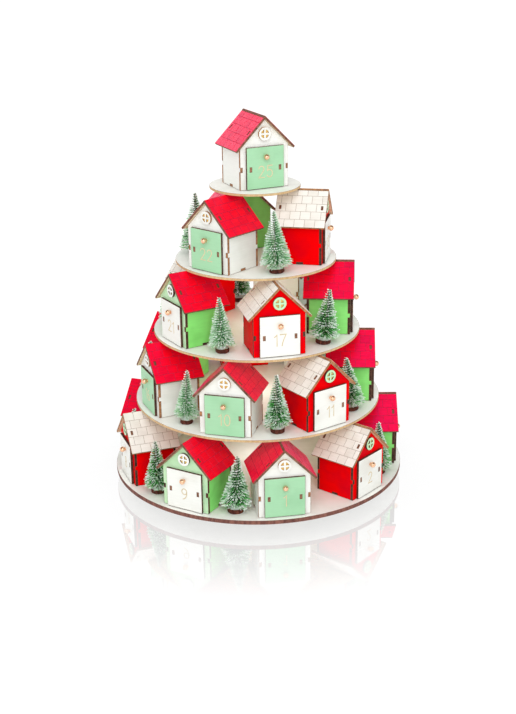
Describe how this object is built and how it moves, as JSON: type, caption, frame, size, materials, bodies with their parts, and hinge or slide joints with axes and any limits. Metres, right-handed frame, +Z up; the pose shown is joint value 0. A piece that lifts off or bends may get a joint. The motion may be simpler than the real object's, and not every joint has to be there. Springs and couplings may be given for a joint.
{
  "type": "advent calendar",
  "caption": "Tiered advent calendar: round plywood decks with rings of small gabled houses, each holding a numbered pull-out drawer, and bottle-brush trees between them.",
  "frame": {"origin": "on the calendar's vertical axis, on the surface that it stands on", "axes": "+Z up along the axis of the tiers; -Y towards the pictured side, +X to its right"},
  "size_m": [0.3203, 0.32, 0.4048],
  "materials": {
    "house_white": "off-white washed plywood walls with burnt edges; the roof of these houses is red",
    "house_red": "satin red painted plywood walls with burnt edges; the roof of these houses is off-white",
    "house_green": "satin mint green painted plywood walls with burnt edges; the roof of these houses is red",
    "drawer_green": "satin mint green drawer front with a printed number and a brass ball knob; bare plywood box",
    "drawer_white": "off-white drawer front with a printed number and a brass ball knob; bare plywood box",
    "deck": "off-white washed plywood with brown laser-burnt edges; the trees on it are green bristles with snow on a twisted wire"
  },
  "bodies": {
    "calendar": {"base_riser": "deck", "deck_1": "deck", "house_01": "house_white", "house_02": "house_red", "house_03": "house_green", "house_04": "house_white", "house_05": "house_red", "house_06": "house_green", "house_07": "house_white", "house_08": "house_red", "house_09": "house_green", "deck_2": "deck", "house_10": "house_white", "house_11": "house_red", "house_12": "house_green", "house_13": "house_white", "house_14": "house_red", "house_15": "house_green", "house_16": "house_white", "deck_3": "deck", "house_17": "house_red", "house_18": "house_green", "house_19": "house_white", "house_20": "house_red", "house_21": "house_green", "deck_4": "deck", "house_22": "house_white", "house_23": "house_red", "house_24": "house_green", "deck_5": "deck", "house_25": "house_white"},
    "drawer_01": {"drawer_01": "drawer_green"},
    "drawer_02": {"drawer_02": "drawer_white"},
    "drawer_03": {"drawer_03": "drawer_white"},
    "drawer_04": {"drawer_04": "drawer_green"},
    "drawer_05": {"drawer_05": "drawer_white"},
    "drawer_06": {"drawer_06": "drawer_white"},
    "drawer_07": {"drawer_07": "drawer_green"},
    "drawer_08": {"drawer_08": "drawer_white"},
    "drawer_09": {"drawer_09": "drawer_white"},
    "drawer_10": {"drawer_10": "drawer_green"},
    "drawer_11": {"drawer_11": "drawer_white"},
    "drawer_12": {"drawer_12": "drawer_white"},
    "drawer_13": {"drawer_13": "drawer_green"},
    "drawer_14": {"drawer_14": "drawer_white"},
    "drawer_15": {"drawer_15": "drawer_white"},
    "drawer_16": {"drawer_16": "drawer_green"},
    "drawer_17": {"drawer_17": "drawer_white"},
    "drawer_18": {"drawer_18": "drawer_white"},
    "drawer_19": {"drawer_19": "drawer_green"},
    "drawer_20": {"drawer_20": "drawer_white"},
    "drawer_21": {"drawer_21": "drawer_white"},
    "drawer_22": {"drawer_22": "drawer_green"},
    "drawer_23": {"drawer_23": "drawer_white"},
    "drawer_24": {"drawer_24": "drawer_white"},
    "drawer_25": {"drawer_25": "drawer_green"}
  },
  "joints": [
    {"name": "drawer_01_slide", "type": "slide", "parent": "calendar", "child": "drawer_01", "axis": [0.1736, -0.9848, 0], "range_m": [0, 0.044]},
    {"name": "drawer_02_slide", "type": "slide", "parent": "calendar", "child": "drawer_02", "axis": [0.766, -0.6428, 0], "range_m": [0, 0.044]},
    {"name": "drawer_03_slide", "type": "slide", "parent": "calendar", "child": "drawer_03", "axis": [1, 0, 0], "range_m": [0, 0.044]},
    {"name": "drawer_04_slide", "type": "slide", "parent": "calendar", "child": "drawer_04", "axis": [0.766, 0.6428, 0], "range_m": [0, 0.044]},
    {"name": "drawer_05_slide", "type": "slide", "parent": "calendar", "child": "drawer_05", "axis": [0.1736, 0.9848, 0], "range_m": [0, 0.044]},
    {"name": "drawer_06_slide", "type": "slide", "parent": "calendar", "child": "drawer_06", "axis": [-0.5, 0.866, 0], "range_m": [0, 0.044]},
    {"name": "drawer_07_slide", "type": "slide", "parent": "calendar", "child": "drawer_07", "axis": [-0.9397, 0.342, 0], "range_m": [0, 0.044]},
    {"name": "drawer_08_slide", "type": "slide", "parent": "calendar", "child": "drawer_08", "axis": [-0.9397, -0.342, 0], "range_m": [0, 0.044]},
    {"name": "drawer_09_slide", "type": "slide", "parent": "calendar", "child": "drawer_09", "axis": [-0.5, -0.866, 0], "range_m": [0, 0.044]},
    {"name": "drawer_10_slide", "type": "slide", "parent": "calendar", "child": "drawer_10", "axis": [-0.2672, -0.9636, 0], "range_m": [0, 0.044]},
    {"name": "drawer_11_slide", "type": "slide", "parent": "calendar", "child": "drawer_11", "axis": [0.5868, -0.8097, 0], "range_m": [0, 0.044]},
    {"name": "drawer_12_slide", "type": "slide", "parent": "calendar", "child": "drawer_12", "axis": [0.9989, -0.0461, 0], "range_m": [0, 0.044]},
    {"name": "drawer_13_slide", "type": "slide", "parent": "calendar", "child": "drawer_13", "axis": [0.6589, 0.7523, 0], "range_m": [0, 0.044]},
    {"name": "drawer_14_slide", "type": "slide", "parent": "calendar", "child": "drawer_14", "axis": [-0.1773, 0.9842, 0], "range_m": [0, 0.044]},
    {"name": "drawer_15_slide", "type": "slide", "parent": "calendar", "child": "drawer_15", "axis": [-0.88, 0.475, 0], "range_m": [0, 0.044]},
    {"name": "drawer_16_slide", "type": "slide", "parent": "calendar", "child": "drawer_16", "axis": [-0.92, -0.3919, 0], "range_m": [0, 0.044]},
    {"name": "drawer_17_slide", "type": "slide", "parent": "calendar", "child": "drawer_17", "axis": [0.225, -0.9744, 0], "range_m": [0, 0.044]},
    {"name": "drawer_18_slide", "type": "slide", "parent": "calendar", "child": "drawer_18", "axis": [0.9962, -0.0872, 0], "range_m": [0, 0.044]},
    {"name": "drawer_19_slide", "type": "slide", "parent": "calendar", "child": "drawer_19", "axis": [0.3907, 0.9205, 0], "range_m": [0, 0.044]},
    {"name": "drawer_20_slide", "type": "slide", "parent": "calendar", "child": "drawer_20", "axis": [-0.7547, 0.6561, 0], "range_m": [0, 0.044]},
    {"name": "drawer_21_slide", "type": "slide", "parent": "calendar", "child": "drawer_21", "axis": [-0.8572, -0.515, 0], "range_m": [0, 0.044]},
    {"name": "drawer_22_slide", "type": "slide", "parent": "calendar", "child": "drawer_22", "axis": [-0.6561, -0.7547, 0], "range_m": [0, 0.044]},
    {"name": "drawer_23_slide", "type": "slide", "parent": "calendar", "child": "drawer_23", "axis": [0.9816, -0.1908, 0], "range_m": [0, 0.044]},
    {"name": "drawer_24_slide", "type": "slide", "parent": "calendar", "child": "drawer_24", "axis": [-0.3256, 0.9455, 0], "range_m": [0, 0.044]},
    {"name": "drawer_25_slide", "type": "slide", "parent": "calendar", "child": "drawer_25", "axis": [0.4226, -0.9063, 0], "range_m": [0, 0.044]}
  ]
}
